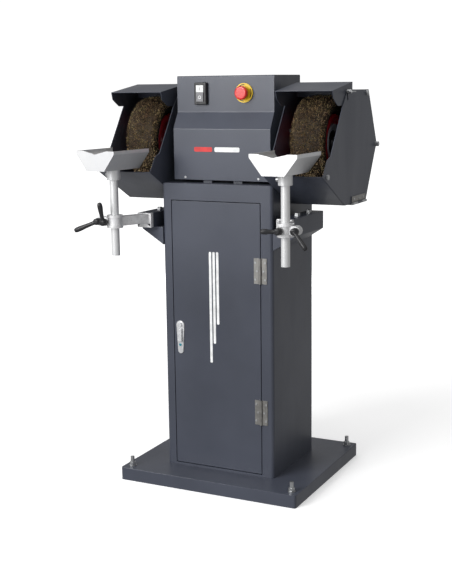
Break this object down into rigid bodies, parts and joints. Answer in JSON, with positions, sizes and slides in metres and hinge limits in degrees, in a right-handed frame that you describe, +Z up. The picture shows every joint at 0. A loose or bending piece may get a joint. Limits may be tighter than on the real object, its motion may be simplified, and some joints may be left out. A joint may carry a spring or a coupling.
{
  "type": "pedestal brushing machine",
  "caption": "Floor-standing wire-brushing machine: guarded brushes at both ends of one motor spindle, on a cabinet with a door, with adjustable tray rests.",
  "frame": {"origin": "centre of the plinth's underside, on the floor", "axes": "+X along the spindle to the right, +Y from the door to the back, +Z up"},
  "size_m": [0.7775, 0.6296, 1.2336],
  "materials": {
    "powder_coat": "satin slate-grey powder coat",
    "galvanised": "zinc-plated steel, slightly worn",
    "white_enamel": "light grey-white enamel",
    "cast_silver": "silver paint on a rough casting",
    "motor_grey": "dark grey motor paint",
    "bearing_steel": "ground bearing steel",
    "electrical_steel": "laminated electrical steel",
    "brass_wire": "crimped brass-coloured steel wire",
    "red_flange": "dark red enamel",
    "black_lever": "black moulded grip",
    "yellow_plastic": "yellow plastic ring",
    "red_plastic": "red mushroom head",
    "black_plastic": "black switch housing",
    "white_button": "white key",
    "grey_button": "grey key",
    "lock_chrome": "bright satin lock"
  },
  "bodies": {
    "machine_frame": {"base_plate": "powder_coat", "anchor_studs": "galvanised", "anchor_washers": "galvanised", "anchor_nuts": "galvanised", "cabinet_shell": "powder_coat", "hinge_leaves_frame": "galvanised", "hinge_pins": "galvanised", "panel_screws": "galvanised", "head_base": "powder_coat", "head_cover": "powder_coat", "motor_housing": "motor_grey", "stator_core": "electrical_steel", "motor_end_bells": "motor_grey", "motor_bearings": "bearing_steel", "switch_housing": "black_plastic", "stop_base": "yellow_plastic", "guard_left": "powder_coat", "guard_right": "powder_coat", "guard_bolts": "galvanised", "cover_hinges": "powder_coat", "rest_bracket_left": "powder_coat", "rest_bracket_right": "powder_coat", "bracket_bolts": "galvanised"},
    "door": {"door_panel": "powder_coat", "hinge_leaves_door": "galvanised", "hinge_screws_door": "galvanised", "lock_plate": "lock_chrome"},
    "lock_handle": {"lock_handle": "lock_chrome"},
    "lock_button": {"lock_button": "lock_chrome"},
    "lock_cylinder": {"lock_cylinder": "lock_chrome"},
    "spindle": {"motor_shaft": "bearing_steel", "motor_rotor": "electrical_steel", "brush_left": "brass_wire", "brush_right": "brass_wire", "brush_flanges": "red_flange", "clamp_washers": "galvanised", "spindle_nuts": "galvanised"},
    "on_button": {"on_button": "white_button"},
    "off_button": {"off_button": "grey_button"},
    "stop_button": {"stop_button": "red_plastic"},
    "side_cover_left": {"side_cover_left": "powder_coat", "cover_screws_left": "galvanised"},
    "hood_screw_left": {"hood_screw_left": "galvanised"},
    "hood_left": {"hood_left": "powder_coat"},
    "rest_arm_left": {"rest_arm_left": "cast_silver"},
    "rest_post_left": {"rest_post_left": "white_enamel"},
    "rest_tray_left": {"rest_tray_left": "white_enamel", "tray_screw_left": "galvanised"},
    "ear_lever_left": {"ear_lever_left": "black_lever"},
    "boss_lever_left": {"boss_lever_left": "black_lever"},
    "side_cover_right": {"side_cover_right": "powder_coat", "cover_screws_right": "galvanised"},
    "hood_screw_right": {"hood_screw_right": "galvanised"},
    "hood_right": {"hood_right": "powder_coat"},
    "rest_arm_right": {"rest_arm_right": "cast_silver"},
    "rest_post_right": {"rest_post_right": "white_enamel"},
    "rest_tray_right": {"rest_tray_right": "white_enamel", "tray_screw_right": "galvanised"},
    "ear_lever_right": {"ear_lever_right": "black_lever"},
    "boss_lever_right": {"boss_lever_right": "black_lever"}
  },
  "joints": [
    {"name": "door_swing", "type": "hinge", "parent": "machine_frame", "child": "door", "pos_m": [0.1423, -0.162, 0.45], "axis": [0, 0, 1], "range_deg": [0, 100]},
    {"name": "lock_handle_lift", "type": "hinge", "parent": "door", "child": "lock_handle", "pos_m": [-0.128, -0.1645, 0.439], "axis": [1, 0, 0], "range_deg": [0, 35]},
    {"name": "lock_button_press", "type": "slide", "parent": "door", "child": "lock_button", "axis": [0, 1, 0], "range_m": [0, 0.003], "stiffness_N_per_m": 300, "springref_m": -0.001},
    {"name": "lock_cylinder_turn", "type": "hinge", "parent": "door", "child": "lock_cylinder", "pos_m": [-0.128, -0.16, 0.426], "axis": [0, 1, 0], "range_deg": [0, 90]},
    {"name": "spindle_spin", "type": "hinge", "parent": "machine_frame", "child": "spindle", "pos_m": [0, 0, 1.037], "axis": [1, 0, 0], "continuous": true},
    {"name": "on_button_press", "type": "slide", "parent": "machine_frame", "child": "on_button", "axis": [0, 1, 0], "range_m": [0, 0.003], "stiffness_N_per_m": 400, "springref_m": -0.001},
    {"name": "off_button_press", "type": "slide", "parent": "machine_frame", "child": "off_button", "axis": [0, 1, 0], "range_m": [0, 0.003], "stiffness_N_per_m": 400, "springref_m": -0.001},
    {"name": "stop_button_press", "type": "slide", "parent": "machine_frame", "child": "stop_button", "axis": [0, 1, 0], "range_m": [0, 0.004], "stiffness_N_per_m": 800, "springref_m": -0.001},
    {"name": "cover_swing_left", "type": "hinge", "parent": "machine_frame", "child": "side_cover_left", "pos_m": [-0.3672, 0.057, 0.86], "axis": [0, -1, 0], "range_deg": [0, 100]},
    {"name": "hood_screw_turn_left", "type": "hinge", "parent": "side_cover_left", "child": "hood_screw_left", "pos_m": [-0.3627, -0.038, 1.184], "axis": [1, 0, 0], "range_deg": [-180, 180]},
    {"name": "hood_tilt_left", "type": "hinge", "parent": "machine_frame", "child": "hood_left", "pos_m": [-0.1839, 0.002, 1.178], "axis": [1, 0, 0], "range_deg": [0, 30]},
    {"name": "rest_arm_slide_left", "type": "slide", "parent": "machine_frame", "child": "rest_arm_left", "axis": [0, -1, 0], "range_m": [0, 0.06]},
    {"name": "rest_post_slide_left", "type": "slide", "parent": "rest_arm_left", "child": "rest_post_left", "axis": [0, 0, 1], "range_m": [-0.006, 0.08]},
    {"name": "rest_tray_swivel_left", "type": "hinge", "parent": "rest_post_left", "child": "rest_tray_left", "pos_m": [-0.275, -0.28, 0.95], "axis": [0, 0, 1], "range_deg": [-7, 22]},
    {"name": "ear_lever_turn_left", "type": "hinge", "parent": "rest_arm_left", "child": "ear_lever_left", "pos_m": [-0.324, -0.3, 0.813], "axis": [0, -1, 0], "range_deg": [-40, 40]},
    {"name": "cover_swing_right", "type": "hinge", "parent": "machine_frame", "child": "side_cover_right", "pos_m": [0.3672, 0.057, 0.86], "axis": [0, 1, 0], "range_deg": [0, 100]},
    {"name": "hood_screw_turn_right", "type": "hinge", "parent": "side_cover_right", "child": "hood_screw_right", "pos_m": [0.3627, -0.038, 1.184], "axis": [1, 0, 0], "range_deg": [-180, 180]},
    {"name": "hood_tilt_right", "type": "hinge", "parent": "machine_frame", "child": "hood_right", "pos_m": [0.1839, 0.002, 1.178], "axis": [1, 0, 0], "range_deg": [0, 30]},
    {"name": "rest_arm_slide_right", "type": "slide", "parent": "machine_frame", "child": "rest_arm_right", "axis": [0, -1, 0], "range_m": [0, 0.06]},
    {"name": "rest_post_slide_right", "type": "slide", "parent": "rest_arm_right", "child": "rest_post_right", "axis": [0, 0, 1], "range_m": [-0.006, 0.08]},
    {"name": "rest_tray_swivel_right", "type": "hinge", "parent": "rest_post_right", "child": "rest_tray_right", "pos_m": [0.275, -0.28, 0.95], "axis": [0, 0, 1], "range_deg": [-14, 16]},
    {"name": "ear_lever_turn_right", "type": "hinge", "parent": "rest_arm_right", "child": "ear_lever_right", "pos_m": [0.31, -0.3, 0.813], "axis": [0, -1, 0], "range_deg": [-40, 40]},
    {"name": "boss_lever_turn_right", "type": "hinge", "parent": "rest_arm_right", "child": "boss_lever_right", "pos_m": [0.267, -0.3, 0.813], "axis": [0, -1, 0], "range_deg": [-40, 40]},
    {"name": "boss_lever_turn_left", "type": "hinge", "parent": "rest_arm_left", "child": "boss_lever_left", "pos_m": [-0.294, -0.31, 0.813], "axis": [0, -1, 0], "range_deg": [-40, 40]}
  ]
}
